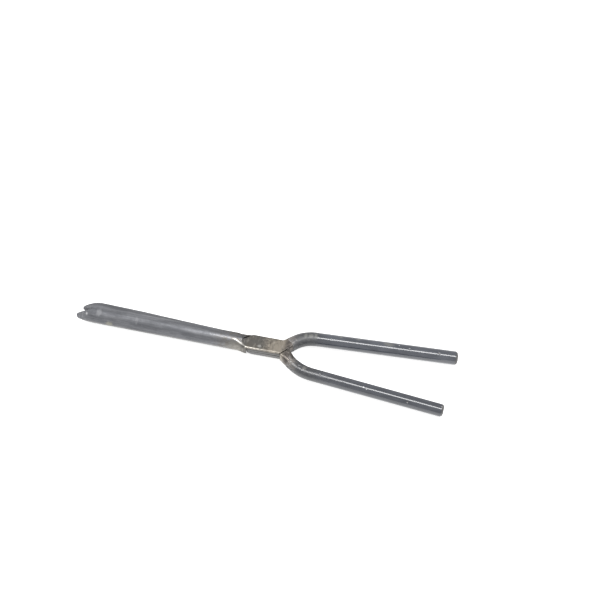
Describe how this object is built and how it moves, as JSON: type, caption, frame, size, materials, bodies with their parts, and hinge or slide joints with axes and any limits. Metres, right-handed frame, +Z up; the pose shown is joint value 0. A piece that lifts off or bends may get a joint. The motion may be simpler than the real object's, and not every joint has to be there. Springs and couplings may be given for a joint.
{
  "type": "hair curling tongs",
  "caption": "Scissor-action steel hair curling tongs: a round rod jaw closes into a trough-shaped jaw, crossing at a flush riveted lap joint, with parallel enamelled bar handles.",
  "frame": {"origin": "on the table under the middle of the tongs' bounding box; the pivot stands 3.09 mm ahead of it along +X", "axes": "+X from the jaws towards the handles, +Y to the side of the handle that belongs to the trough jaw, +Z up along the pivot rivet"},
  "size_m": [0.2404, 0.0464, 0.0119],
  "materials": {
    "jaw_steel": "worn bare steel, grey-blue, satin, with brown patina at the joint",
    "handle_enamel": "worn glossy blue-black enamel over the same steel",
    "rivet_steel": "dull worn steel, filed flush"
  },
  "bodies": {
    "rod_side": {"rod_arm": "jaw_steel", "pivot_rivet": "rivet_steel"},
    "shell_side": {"shell_arm": "jaw_steel"}
  },
  "joints": [
    {"name": "jaw_pivot", "type": "hinge", "parent": "rod_side", "child": "shell_side", "pos_m": [0.00309, 0, 0.00595], "axis": [0, 0, 1], "range_deg": [-2.2, 35]}
  ]
}
